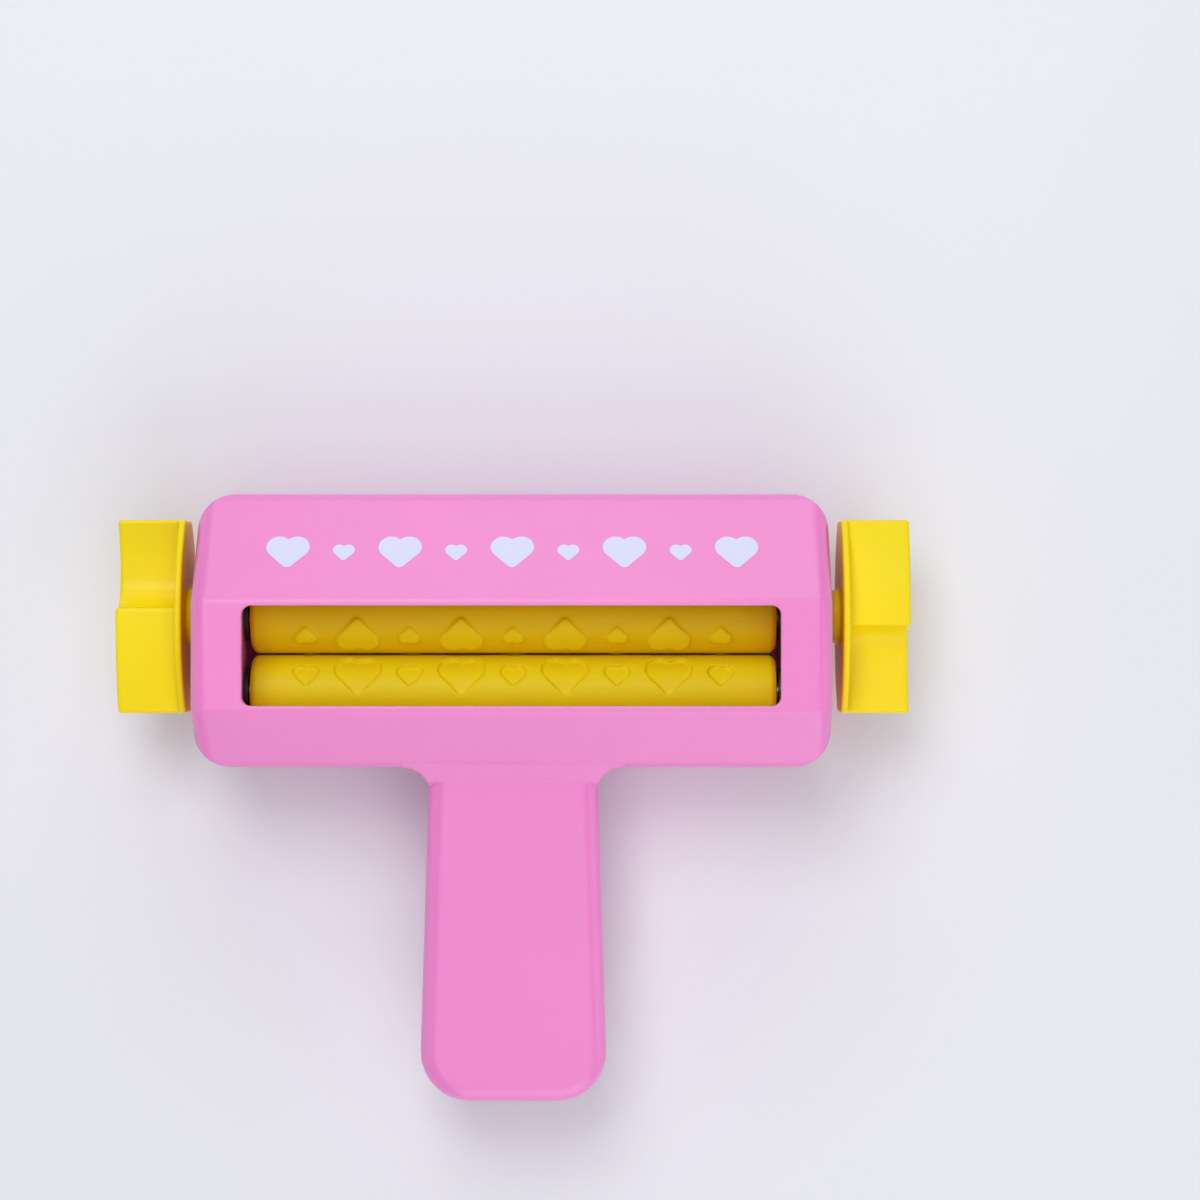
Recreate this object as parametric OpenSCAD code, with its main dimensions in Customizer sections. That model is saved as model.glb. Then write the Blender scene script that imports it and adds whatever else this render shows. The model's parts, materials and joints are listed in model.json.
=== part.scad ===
// Hand-held paper embosser: two heart-patterned rollers in a T-shaped housing,
// turned by a knob at each end. The part lies on its rear face, front face up.
// X runs along the rollers, Y from the grip to the housing, Z from rear to front.

/* [Housing] */
// Length of the housing along the rollers
housing_len = 141; // [134:1:160]
// Depth from the rear face to the front face
housing_depth = 46; // [44:1:56]
// Height of the housing above the paper path
top_rise = 36; // [33:1:44]
// Depth of the housing below the paper path
bottom_drop = 25; // [24:0.5:30]
// Height of the flat front and rear faces
face_h = 24.6; // [24:0.2:30]
// Thickness along the top edge
top_land = 10; // [8:1:16]
// Thickness along the bottom edge
bottom_land = 24; // [20:1:30]
// Wall thickness of both shells
wall = 2.2; // [1.6:0.1:3]
// Corner radius seen from the front
corner_r = 8.5; // [6:0.5:12]
// Radius of the edges at both ends
end_r = 4; // [3:0.5:6]
// Radius along the edges of the flat faces
face_edge_r = 2.5; // [1:0.5:5]
// Radius along the top and bottom edges
land_edge_r = 4.5; // [3:0.5:4.5]
// Length of the paper windows
window_len = 118; // [100:1:119]
// Height of the paper windows
window_h = 22; // [16:0.5:22]
// Corner radius of the paper windows
window_r = 2; // [0.5:0.5:4]

/* [Grip] */
// Reach of the grip below the paper path
grip_reach = 100; // [80:1:130]
// Width of the grip where it leaves the housing
grip_top_w = 37.4; // [30:0.2:44]
// Width of the grip at its end
grip_end_w = 41.6; // [34:0.2:48]
// Thickness of the grip
grip_depth = 18; // [16:1:20]
// Corner radius of the grip's end
grip_corner_r = 11; // [8:0.5:14]
// Corner radius of the grip where it enters the housing
grip_root_r = 5; // [4.5:0.5:8]
// Radius along the grip's edges
grip_edge_r = 4; // [2:0.5:6]
// Radius of the blend between housing and grip
neck_r = 5.7; // [3:0.1:9]

/* [Rollers] */
// Gap between the two rollers for the paper
roller_gap = 0.4; // [0.3:0.05:0.8]
// Gap between a roller's end and its bushes
roller_end_gap = 0.6; // [0.5:0.1:2]
// Rounding of the roller ends
roller_chamfer = 1; // [0.5:0.1:1.5]
// Height of the raised hearts
relief = 0.8; // [0.4:0.1:0.9]
// Width of a large heart
heart_w = 9.5; // [6:0.1:10]
// Width of a small heart
small_heart_w = 4.8; // [3:0.1:6]
// Radius of a heart's point as a share of its width
heart_tip = 0.12; // [0.05:0.01:0.15]
// Distance between neighbouring hearts along the roller
heart_pitch = 11.6; // [10.5:0.1:12]
// Hearts in one row
heart_columns = 9; // [3:2:9]
// Rows of hearts around a roller
heart_rows = 4; // [2:2:4]
// Angle from the paper path to the middle of the first row
row_phase = 61; // [40:1:70]
// Clearance around a heart in its recess
heart_clear = 0.5; // [0.4:0.05:0.8]

/* [Gears] */
// Teeth on each gear
gear_teeth = 17; // [16:1:18]
// Gear module
gear_module = 1; // [0.98:0.01:1.05]
// Face width of the gears
gear_w = 3.6; // [2.5:0.1:4]
// Play between the tooth flanks
backlash = 0.3; // [0.2:0.05:0.5]

/* [Shafts and bushes] */
// Diameter of both shafts
shaft_d = 5; // [4:0.1:6]
// Material left across the flat of the drive shaft
shaft_flat = 4.2; // [3.2:0.1:4.6]
// Radial running clearance of a shaft in its bush
run_clear = 0.05; // [0.02:0.01:0.1]
// Wall of a bush
bush_wall = 1.5; // [1:0.1:2]
// Width of the bush flange beyond the sleeve
bush_lip = 1.3; // [0.8:0.1:1.6]
// Thickness of the bush flange
bush_flange_t = 1; // [0.6:0.1:1.2]
// Thickness of the bearing ribs
rib_t = 3; // [2:0.1:3.2]
// Gap left beside parts that turn
side_gap = 0.4; // [0.3:0.05:0.6]
// Gap between the gears and the housing's end wall
gear_end_gap = 0.8; // [0.6:0.1:1.5]
// Clearance of the drive shaft in the housing's end walls
wall_clear = 0.7; // [0.4:0.1:1]

/* [Knobs] */
// Length of a knob across its wings
knob_span = 43.4; // [36:0.2:45]
// Length of a knob along its axis
knob_len = 17.5; // [15:0.5:24]
// Thickness of the knob's oval base lip
knob_lip_t = 1.6; // [1.2:0.1:3]
// Depth of the base lip from front to rear
knob_lip_depth = 29; // [22:0.5:34]
// How far the base lip stands out beside the wing tips
knob_lip_over = 1; // [0.5:0.1:2]
// Radius of the collar between a knob and the housing
knob_collar_r = 6; // [5:0.5:8]
// Length of the collar
knob_collar_t = 2; // [1:0.1:3]
// Thickness of a knob at its axis
knob_hub_t = 17.2; // [14:0.2:18]
// Thickness of a knob at its wing tips, before the scoops
knob_tip_t = 9; // [6:0.2:11]
// Distance of the scoops' deepest line from the axis
scoop_y = 8.5; // [8:0.1:10]
// Height of the scoops' floor above the knob's middle plane
scoop_floor = 1; // [0.5:0.1:3]
// Radius of the scoops towards the wing tips
scoop_r = 24; // [18:0.5:30]
// Radius of the scoops towards the hub
scoop_hub_r = 6.5; // [5:0.1:7]
// Gap between a knob's collar and the housing's end
knob_gap = 0.8; // [0.5:0.1:2]
// Depth of the shaft in a knob
knob_socket = 12; // [9:0.5:14]

/* [Screws] */
// Thread diameter of the screws
screw_d = 2.6; // [2:0.1:3]
// Head diameter of the screws
screw_head_d = 5; // [4:0.1:5.4]
// Head height of the screws
screw_head_t = 1.6; // [1:0.1:2]
// Distance of the housing screw heads behind the middle plane
screw_seat = 10; // [9.4:0.2:11]
// Distance of the grip screw heads behind the middle plane
grip_screw_seat = 4; // [3:0.2:4.6]
// Reach of the housing screws past the middle plane
screw_reach = 8; // [6:0.5:8]
// Reach of the grip screws past the middle plane
grip_screw_reach = 4.6; // [3:0.2:4.6]
// Wall around a screw hole
boss_wall = 1.6; // [1.2:0.1:1.8]
// Shift of the housing screws off the ribs' middle, towards the windows
screw_shift = 1; // [0.5:0.1:1.2]
// Distance of the upper screws' posts above the drive roller
upper_screw_gap = 3.5; // [2:0.5:6]
// Distance of the lower screws below the counter roller
lower_screw_gap = 0.4; // [0.3:0.1:1]
// Distance of the grip screws from the ends of the grip
grip_screw_inset = 15; // [13:1:20]
// How much tighter than the thread a pilot hole is, in radius
thread_bite = 0.15; // [0.1:0.05:0.25]
// Clearance around a screw's shank
shank_clear = 0.2; // [0.15:0.05:0.3]
// Clearance around a screw's head
head_clear = 0.4; // [0.3:0.05:0.5]
// Plastic under a screw's head
seat_floor = 1.5; // [1.2:0.1:2]
// Wall around a screw's head
seat_wall = 1; // [0.8:0.1:1.2]

/* [Hidden] */
$fn = 64;

pink = "#f09ad2";
yellow = "#ffd60a";
gold = "#e8b400";
ivory = "#f2efe6";
graphite = "#2b2b2e";
steel = "#b8bcc0";

// How far cutting shapes run past what they cut
over = 1;
// Length of shapes that are cut off elsewhere
tall = 3 * top_rise;
// Smallest radius of an inner edge
least_r = 0.5;
// Segments in a rounded corner
arc_steps = 8;
front = 1;
rear = -1;
left = -1;
right = 1;

// The paper path lies so that the part's box is centred in Y and stands on Z = 0
paper_y = (grip_reach - top_rise) / 2;
middle_z = housing_depth / 2;

axis_gap = gear_module * gear_teeth;
drive_y = axis_gap / 2;
idler_y = -axis_gap / 2;
roller_r = (axis_gap - roller_gap) / 2;
relief_r = roller_r + relief;
recess_r = roller_r - relief - roller_gap / 2;
row_step = 360 / heart_rows;
// The prisms of the hearts start well inside the roller
prism_z = recess_r / 2 + over;
// The circles of a heart stand a little proud of its straight sides
circle_fill = 1.01;

// Along X, from the housing's end wall inwards: gears, ribs with their bushes, rollers
inner_end = housing_len / 2 - wall;
gear_x = inner_end - gear_end_gap - gear_w;
rib_end = gear_x - side_gap;
rib_x = rib_end - rib_t;
roller_len = 2 * (rib_x - bush_flange_t - roller_end_gap);
shaft_r = shaft_d / 2;
bush_bore_r = shaft_r + run_clear;
bush_r = bush_bore_r + bush_wall;
hub_end = rib_x - bush_flange_t - side_gap;
knob_x = housing_len / 2 + knob_gap;
knob_lip_x = knob_x + knob_collar_t;
wing_x = knob_lip_x + knob_lip_t / 2;
wing_len = knob_x + knob_len - wing_x;
drive_shaft_end = knob_x + knob_socket;
idler_shaft_end = inner_end - side_gap;
shaft_hole_r = shaft_r + wall_clear;

// Housing screws sit on the bearing ribs, above and below the rollers
screw_x = rib_x + rib_t / 2 - screw_shift;
screw_ys = [
    drive_y + relief_r + screw_d / 2 + boss_wall + upper_screw_gap,
    idler_y - roller_r - screw_d / 2 - lower_screw_gap
];
grip_screw_ys = [-bottom_drop - grip_screw_inset, -grip_reach + grip_screw_inset];
pilot_r = screw_d / 2 - thread_bite;
screw_hole_r = screw_d / 2 + shank_clear;
head_hole_r = screw_head_d / 2 + head_clear;
boss_r = screw_d / 2 + boss_wall;

// Side outline of the housing as Y, Z points, counter-clockwise
housing_side = [
    [-bottom_drop, -bottom_land / 2], [-face_h / 2, -housing_depth / 2],
    [face_h / 2, -housing_depth / 2], [top_rise, -top_land / 2],
    [top_rise, top_land / 2], [face_h / 2, housing_depth / 2],
    [-face_h / 2, housing_depth / 2], [-bottom_drop, bottom_land / 2]
];
side_radii = [
    land_edge_r, face_edge_r, face_edge_r, land_edge_r,
    land_edge_r, face_edge_r, face_edge_r, land_edge_r
];
// First points of the front and rear faces and of the slopes beside them
faces_and_slopes = [0, 1, 2, 4, 5, 6];
// The lower slope runs on below the housing until it meets the grip's face
lower_slope = (housing_depth - bottom_land) / 2 / (bottom_drop - face_h / 2);
neck_y = -bottom_drop - (bottom_land - grip_depth) / 2 / lower_slope;

function unit(v) = v / norm(v);
function inward(v) = [-v[1], v[0]];
function turn(u, v) = acos(max(-1, min(1, u * v)));

// Convex outline with every side moved inwards by d
function inset_outline(p, d) = [
    for (i = [0:len(p) - 1])
    let (
        n1 = inward(unit(p[i] - p[(i + len(p) - 1) % len(p)])),
        n2 = inward(unit(p[(i + 1) % len(p)] - p[i]))
    )
    p[i] + d * (n1 + n2) / (1 + n1 * n2)
];

// Arc that rounds the corner b between the directions u and v
function corner_arc(b, u, v, r) = r <= 0 ? [b] : [
    for (k = [0:arc_steps])
    let (
        sweep = turn(u, v),
        centre = b - u * r * tan(sweep / 2) + inward(u) * r,
        start = atan2(-inward(u)[1], -inward(u)[0]),
        a = start + sweep * k / arc_steps
    )
    centre + r * [cos(a), sin(a)]
];

// Convex counter-clockwise outline with rounded corners
function round_outline(p, radii) = [
    for (i = [0:len(p) - 1])
    let (
        u = unit(p[i] - p[(i + len(p) - 1) % len(p)]),
        v = unit(p[(i + 1) % len(p)] - p[i])
    )
    each corner_arc(p[i], u, v, radii[i])
];

function rectangle(x0, y0, x1, y1) = [[x0, y0], [x1, y0], [x1, y1], [x0, y1]];
function same_radius(r) = [r, r, r, r];

module in_place() {
    translate([0, paper_y, middle_z]) children();
}

// Extrudes a Y, Z outline along X
module along_x(length) {
    rotate([90, 0, 90]) linear_extrude(length, center = true) children();
}

module x_cylinder(x0, x1, r) {
    translate([x0, 0, 0]) rotate([0, 90, 0]) cylinder(h = x1 - x0, r = r);
}

// Prism along the face of the side outline that runs from p to q, with rounded edges at both ends
module end_rounding(p, q, end, r) {
    normal = -inward(unit(q - p));
    outward = p * normal;
    rotate([-atan2(normal[0], normal[1]), 0, 0]) rotate([90, 0, 0]) linear_extrude(2 * tall, center = true)
        polygon(round_outline(rectangle(-end, outward - tall, end, outward), [0, 0, r, r]));
}

// Block with the side outline, rounded corners seen from the front and rounded ends of each face
module housing_block(inset) {
    end = housing_len / 2 - inset;
    side = inset_outline(housing_side, inset);
    radii = [for (r = side_radii) max(least_r, r - inset)];
    intersection() {
        along_x(2 * end) polygon(round_outline(side, radii));
        linear_extrude(housing_depth, center = true)
            polygon(round_outline(rectangle(-end, inset - bottom_drop, end, top_rise - inset),
                                  same_radius(corner_r - inset)));
        intersection_for (i = faces_and_slopes)
            end_rounding(side[i], side[(i + 1) % len(side)], end, max(least_r, end_r - inset));
    }
}

module rounded_disc(r, h, edge) {
    rotate_extrude($fn = 32)
        polygon(round_outline(rectangle(0, -h / 2, r, h / 2), [0, edge, edge, 0]));
}

module grip_block(inset) {
    edge = max(least_r, grip_edge_r - inset);
    hull() for (side = [left, right]) {
        translate([side * (grip_top_w / 2 - grip_root_r), -bottom_drop + grip_root_r, 0])
            rounded_disc(grip_root_r - inset, grip_depth - 2 * inset, edge);
        translate([side * (grip_end_w / 2 - grip_corner_r), -grip_reach + grip_corner_r, 0])
            rounded_disc(grip_corner_r - inset, grip_depth - 2 * inset, edge);
    }
}

// Blend between the housing's lower slope and the grip
module neck() {
    root = -bottom_drop + over;
    end = -bottom_drop - neck_r;
    slope_z = bottom_land / 2 + over * lower_slope;
    half_w = grip_top_w / 2;
    side_z = grip_depth / 2 - grip_edge_r;
    intersection() {
        linear_extrude(housing_depth, center = true) difference() {
            translate([-half_w - neck_r, end]) square([2 * (half_w + neck_r), root - end]);
            for (side = [left, right]) translate([side * (half_w + neck_r), end]) circle(r = neck_r);
        }
        along_x(housing_len) polygon([
            [end, -side_z], [neck_y, -grip_depth / 2], [root, -slope_z],
            [root, slope_z], [neck_y, grip_depth / 2], [end, side_z]
        ]);
    }
}

module half_space(face) {
    size = 2 * (grip_reach + housing_len);
    translate([0, 0, face * size / 2]) cube(size, center = true);
}

module shell_skin() {
    difference() {
        union() {
            housing_block(0);
            neck();
            grip_block(0);
        }
        housing_block(wall);
        grip_block(wall);
    }
}

module at_housing_screws() {
    for (side = [left, right], y = screw_ys) translate([side * screw_x, y, 0]) children();
}

module at_grip_screws() {
    for (y = grip_screw_ys) translate([0, y, 0]) children();
}

// Slim post at the parting plane, wider behind it where it holds the screw head
module screw_post(seat) {
    cylinder(h = housing_depth, r = boss_r, center = true);
    translate([0, 0, -housing_depth])
        cylinder(h = housing_depth - seat + seat_floor, r = head_hole_r + seat_wall);
}

// Hole for a screw's head and shank, with a tighter pilot in front of the parting plane
module screw_hole(seat, reach) {
    translate([0, 0, -housing_depth]) cylinder(h = housing_depth - seat, r = head_hole_r);
    translate([0, 0, -seat - over]) cylinder(h = seat + over, r = screw_hole_r);
    translate([0, 0, -over]) cylinder(h = reach + 2 * over, r = pilot_r);
}

module bearing_ribs() {
    for (side = [left, right]) translate([side * (rib_x + rib_t / 2), 0, 0])
        cube([rib_t, tall, housing_depth], center = true);
}

module windows() {
    linear_extrude(2 * housing_depth, center = true)
        polygon(round_outline(rectangle(-window_len / 2, -window_h / 2, window_len / 2, window_h / 2),
                              same_radius(window_r)));
}

// Seats for the bushes and holes for the drive shaft, split between the shells
module bearing_bores() {
    for (side = [left, right], y = [drive_y, idler_y]) translate([side * (rib_x + rib_t / 2), y, 0])
        x_cylinder(-rib_t, rib_t, bush_r);
    translate([0, drive_y, 0]) for (side = [left, right])
        x_cylinder(side * housing_len / 2 - 2 * wall, side * housing_len / 2 + 2 * wall, shaft_hole_r);
}

// Both shells share one skin, with their own halves of the ribs and the screw posts
module shell(face) {
    color(pink) in_place() difference() {
        union() {
            mirror([0, 0, face == front ? 0 : 1]) intersection() {
                difference() {
                    shell_skin();
                    windows();
                }
                half_space(front);
            }
            intersection() {
                housing_block(wall / 2);
                union() {
                    bearing_ribs();
                    at_housing_screws() screw_post(screw_seat);
                }
                half_space(face);
            }
            intersection() {
                grip_block(wall / 2);
                at_grip_screws() screw_post(grip_screw_seat);
                half_space(face);
            }
        }
        bearing_bores();
        at_housing_screws() screw_hole(screw_seat, screw_reach);
        at_grip_screws() screw_hole(grip_screw_seat, grip_screw_reach);
    }
}

// Heart with its rounded point towards -Y: a turned square with a circle over two sides
module heart(w) {
    s = w / (1 + sqrt(0.5));
    lobe = s / sqrt(8);
    point_r = heart_tip * w;
    point_y = -s / sqrt(2);
    translate([0, -(1 - sqrt(0.5)) * s / 4]) {
        difference() {
            rotate(45) square(s, center = true);
            translate([-s / 2, point_y + point_r / sqrt(2) - s]) square(s);
        }
        translate([0, point_y + point_r * sqrt(2)]) circle(r = circle_fill * point_r);
        for (side = [left, right]) translate([side * lobe, lobe]) circle(d = circle_fill * s);
    }
}

// Prisms that stand out of the drive roller, large and small hearts by turns.
// Angles run from the paper path towards the front.
module heart_prisms(grow) {
    for (row = [0:heart_rows - 1], column = [0:heart_columns - 1])
    let (w = (row + column) % 2 == 0 ? small_heart_w : heart_w)
        translate([(column - (heart_columns - 1) / 2) * heart_pitch, 0, 0])
            rotate([90 - row_phase - row * row_step, 0, 0]) translate([0, 0, prism_z])
                rotate(180) linear_extrude(relief_r + 2 * over - prism_z) heart(w + 2 * grow);
}

// Turned roller body with bevelled ends and hubs that run up to the bushes
module roller_blank() {
    end = roller_len / 2;
    rotate([0, 90, 0]) difference() {
        rotate_extrude() polygon([
            [0, -hub_end], [bush_r, -hub_end], [bush_r, -end], [roller_r - roller_chamfer, -end],
            [roller_r, roller_chamfer - end], [roller_r, end - roller_chamfer],
            [roller_r - roller_chamfer, end], [bush_r, end], [bush_r, hub_end], [0, hub_end]
        ]);
        cylinder(h = 2 * hub_end + 2 * over, r = shaft_r, center = true);
    }
}

module embossing_roller() {
    color(gold) in_place() translate([0, drive_y, 0]) {
        roller_blank();
        difference() {
            intersection() {
                heart_prisms(0);
                x_cylinder(-roller_len / 2, roller_len / 2, relief_r);
            }
            x_cylinder(-roller_len, roller_len, roller_r - over);
        }
    }
}

module counter_roller() {
    color(gold) in_place() translate([0, idler_y, 0]) difference() {
        roller_blank();
        mirror([0, 1, 0]) difference() {
            heart_prisms(heart_clear);
            x_cylinder(-roller_len, roller_len, recess_r);
        }
    }
}

// Outline of the drive shaft's flattened end
module flat_section() {
    difference() {
        circle(r = shaft_r);
        translate([-shaft_d, shaft_flat - shaft_r]) square(2 * shaft_d);
    }
}

module drive_shaft() {
    color(steel) in_place() translate([0, drive_y, 0]) difference() {
        x_cylinder(-drive_shaft_end, drive_shaft_end, shaft_r);
        for (side = [left, right])
            translate([side * (knob_x + knob_socket), 0, shaft_flat - shaft_r + shaft_d / 2])
                cube([2 * knob_socket, 2 * shaft_d, shaft_d], center = true);
    }
}

module idler_shaft() {
    color(steel) in_place() translate([0, idler_y, 0]) x_cylinder(-idler_shaft_end, idler_shaft_end, shaft_r);
}

// Involute spur gear outline with one tooth on +X
pressure_angle = 20;
pitch_r = axis_gap / 2;
base_r = pitch_r * cos(pressure_angle);
tip_r = pitch_r + gear_module;
dedendum = 1.25;
root_r = pitch_r - dedendum * gear_module;
flank_steps = 5;
function involute_angle(r) = let (t = sqrt(max(0, pow(r / base_r, 2) - 1))) t * 180 / PI - atan(t);
tooth_half_angle = 90 / gear_teeth - backlash / 4 / pitch_r * 180 / PI;
function flank_angle(r) = tooth_half_angle + involute_angle(pitch_r) - involute_angle(max(r, base_r));
function flank_radius(k) = base_r + (tip_r - base_r) * k / flank_steps;
function polar(r, a) = [r * cos(a), r * sin(a)];
gear_outline = [
    for (tooth = [0:gear_teeth - 1])
    let (a = tooth * 360 / gear_teeth)
    each concat(
        [polar(root_r, a - flank_angle(root_r))],
        [for (k = [0:flank_steps]) polar(flank_radius(k), a - flank_angle(flank_radius(k)))],
        [for (k = [flank_steps:-1:0]) polar(flank_radius(k), a + flank_angle(flank_radius(k)))],
        [polar(root_r, a + flank_angle(root_r))]
    )
];

module gear(y, phase) {
    color(ivory) in_place() translate([gear_x + gear_w / 2, y, 0]) difference() {
        along_x(gear_w) rotate(phase) polygon(gear_outline);
        x_cylinder(-gear_w, gear_w, shaft_r);
    }
}

module drive_gear() {
    gear(drive_y, 180);
}

module idler_gear() {
    gear(idler_y, 180 / gear_teeth);
}

// Flanged bush with its flange towards the roller
module bush(side, y) {
    color(graphite) in_place() translate([0, y, 0]) rotate([0, 0, side == right ? 0 : 180]) difference() {
        union() {
            x_cylinder(rib_x, rib_end, bush_r);
            x_cylinder(rib_x - bush_flange_t, rib_x, bush_r + bush_lip);
        }
        x_cylinder(rib_x - 2 * bush_flange_t, rib_end + over, bush_bore_r);
    }
}

// Lens outline with its depth at the axis and at the square tips
module knob_lens(depth, tip) {
    half = knob_span / 2;
    sag = (depth - tip) / 2;
    r = (half * half + sag * sag) / (2 * sag);
    intersection() {
        square([knob_span, knob_span], center = true);
        translate([0, depth / 2 - r]) circle(r = r, $fn = 128);
        translate([0, r - depth / 2]) circle(r = r, $fn = 128);
    }
}

// Finger scoop in front of the lower wing, steep towards the hub and shallow towards the tip
module scoop() {
    translate([-scoop_y, scoop_floor]) {
        intersection() {
            translate([0, scoop_hub_r]) circle(r = scoop_hub_r);
            square(knob_span);
        }
        intersection() {
            translate([0, scoop_r]) circle(r = scoop_r, $fn = 128);
            translate([-knob_span, 0]) square(knob_span);
        }
    }
}

// Knob with a collar towards the housing, an oval lip and two wings scooped on opposite faces
module knob(side) {
    color(yellow) in_place() translate([0, drive_y, 0]) rotate([0, 0, side == right ? 0 : 180]) difference() {
        union() {
            x_cylinder(knob_x, wing_x, knob_collar_r);
            translate([knob_lip_x + knob_lip_t / 2, 0, 0]) along_x(knob_lip_t)
                knob_lens(knob_lip_depth, knob_tip_t + 2 * knob_lip_over);
            translate([wing_x + wing_len / 2, 0, 0]) along_x(wing_len) difference() {
                knob_lens(knob_hub_t, knob_tip_t);
                scoop();
                rotate(180) scoop();
            }
        }
        translate([knob_x, 0, 0]) along_x(2 * knob_socket) flat_section();
    }
}

// Pan-head screw with its head behind the seat
module screw(seat, reach) {
    translate([0, 0, -seat]) cylinder(h = seat + reach, r = screw_d / 2);
    translate([0, 0, -seat - screw_head_t]) cylinder(h = screw_head_t, r = screw_head_d / 2);
}

module housing_screws() {
    color(steel) in_place() at_housing_screws() screw(screw_seat, screw_reach);
}

module grip_screws() {
    color(steel) in_place() at_grip_screws() screw(grip_screw_seat, grip_screw_reach);
}

shell(front);  // front_shell
shell(rear);  // rear_shell
embossing_roller();
counter_roller();
drive_shaft();
idler_shaft();
drive_gear();
idler_gear();
bush(left, drive_y);  // left_drive_bush
bush(right, drive_y);  // right_drive_bush
bush(left, idler_y);  // left_idler_bush
bush(right, idler_y);  // right_idler_bush
knob(left);  // left_knob
knob(right);  // right_knob
housing_screws();
grip_screws();
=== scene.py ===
"""Finished look of a hand-held paper embosser, dressed over its solid parts."""

import json
import math

import bpy
from mathutils import Matrix, Vector


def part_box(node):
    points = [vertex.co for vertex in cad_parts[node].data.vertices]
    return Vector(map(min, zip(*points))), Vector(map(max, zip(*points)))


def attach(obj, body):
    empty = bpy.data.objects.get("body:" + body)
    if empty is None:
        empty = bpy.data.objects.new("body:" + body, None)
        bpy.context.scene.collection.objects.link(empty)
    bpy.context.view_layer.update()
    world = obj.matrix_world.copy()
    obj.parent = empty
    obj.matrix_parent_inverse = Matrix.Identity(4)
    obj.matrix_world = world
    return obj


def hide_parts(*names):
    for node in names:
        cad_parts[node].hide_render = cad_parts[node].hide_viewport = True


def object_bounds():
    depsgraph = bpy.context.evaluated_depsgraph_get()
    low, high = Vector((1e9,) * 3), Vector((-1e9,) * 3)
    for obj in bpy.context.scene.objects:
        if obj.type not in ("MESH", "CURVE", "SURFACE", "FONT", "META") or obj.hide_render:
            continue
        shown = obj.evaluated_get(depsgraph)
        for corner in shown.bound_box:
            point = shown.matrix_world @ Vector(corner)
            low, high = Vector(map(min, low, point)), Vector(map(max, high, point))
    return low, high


bl_info = {
    "name": "Paper Embosser",
    "version": (1, 0, 0),
    "blender": (4, 5, 0),
    "location": "View3D > Sidebar > Embosser",
    "description": "Rounds, prints and finishes the parts of a hand-held paper embosser",
    "category": "Object",
}

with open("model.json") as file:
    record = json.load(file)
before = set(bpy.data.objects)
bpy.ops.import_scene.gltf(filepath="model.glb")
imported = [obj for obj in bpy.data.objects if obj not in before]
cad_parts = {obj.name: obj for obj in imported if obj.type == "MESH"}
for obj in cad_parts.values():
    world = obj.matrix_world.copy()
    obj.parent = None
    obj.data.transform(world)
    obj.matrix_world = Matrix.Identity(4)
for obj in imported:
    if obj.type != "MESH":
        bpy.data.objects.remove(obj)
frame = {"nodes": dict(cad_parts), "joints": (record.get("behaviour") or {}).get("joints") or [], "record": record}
CAD_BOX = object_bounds()
MM = 0.001

BODIES = frame["record"]["behaviour"]["bodies"]
NODE_BODY = {node: body for body, nodes in BODIES.items() for node in nodes}
NODE_SLOT = {part["node"]: part["material_slot"] for part in frame["record"]["subparts"]}
AXES = {joint["child"]: Vector(joint["pos_m"]) for joint in frame["joints"]}
PAPER_Y = (AXES["drive"].y + AXES["idler"].y) / 2
WINDOW_BOX = [Vector(corner) for corner in frame["record"]["physics"]["openings"][0]["box_m"]]
# How far a window's rim may lie outside the clear box of its opening
WINDOW_MARGIN = 1.6 * MM
# Distance within which a point counts as lying on a plane
NEAR = 0.05 * MM
# Distance within which two points count as one
TOUCH = 0.01 * MM

SHELLS = ["front_shell", "rear_shell"]
ROLLERS = {"embossing_roller": "drive", "counter_roller": "idler"}
KNOBS = ["left_knob", "right_knob"]
SHAFTS = ["drive_shaft", "idler_shaft"]
SCREWS = ["housing_screws", "grip_screws"]
GEARS = [node for node, slot in NODE_SLOT.items() if slot == "ivory_plastic"]
BUSHES = [node for node, slot in NODE_SLOT.items() if slot == "black_plastic"]


def srgb(red, green, blue):
    """Linear colour of three screen values from 0 to 255."""

    def linear(value):
        share = value / 255
        return share / 12.92 if share <= 0.04045 else ((share + 0.055) / 1.055) ** 2.4

    return linear(red), linear(green), linear(blue)


def colour(name, description, default):
    """A colour that the user can change."""
    return bpy.props.FloatVectorProperty(
        name=name, description=description, subtype="COLOR", size=3, min=0, max=1, default=default
    )


def length(name, description, default):
    """A length in metres that the user can change."""
    return bpy.props.FloatProperty(
        name=name, description=description, unit="LENGTH", min=0, precision=5, default=default
    )


def power(name, description, default):
    """A lamp's strength in watts that the user can change."""
    return bpy.props.FloatProperty(name=name, description=description, unit="POWER", min=0, default=default)


def count(name, description, default):
    """A whole number that the user can change."""
    return bpy.props.IntProperty(name=name, description=description, min=0, default=default)


class EmbosserColours(bpy.types.PropertyGroup):
    """Colours of the plastics, the print, the metal and the floor."""

    housing: colour("Housing", "Pink of both housing shells", srgb(238, 128, 203))
    # Both rollers are one yellow plastic: the counter roller's lighter lemon tint is painted light, standing for
    # the light that falls on it while the embossing roller lies in shade.
    embossing_roller: colour("Embossing Roller", "Golden yellow of the driven roller", srgb(253, 218, 14))
    counter_roller: colour("Counter Roller", "Lemon yellow of the other roller", srgb(255, 233, 20))
    knobs: colour("Knobs", "Bright yellow of the knobs", srgb(247, 221, 8))
    printing: colour("Print", "Ink of the printed hearts", srgb(218, 221, 248))
    gears: colour("Gears", "Ivory of the two gears", srgb(236, 231, 216))
    # The bushes' dark colour is partly their own and partly painted shade: it keeps the ends of the paper windows
    # as dark as the shaded gap there.
    bushes: colour("Bushes", "Dark plastic of the four bushes", srgb(46, 44, 47))
    steel: colour("Steel", "Bright steel of the shafts and screws", srgb(190, 192, 196))
    floor: colour("Floor", "Pale floor under the part", srgb(232, 233, 241))


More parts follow.
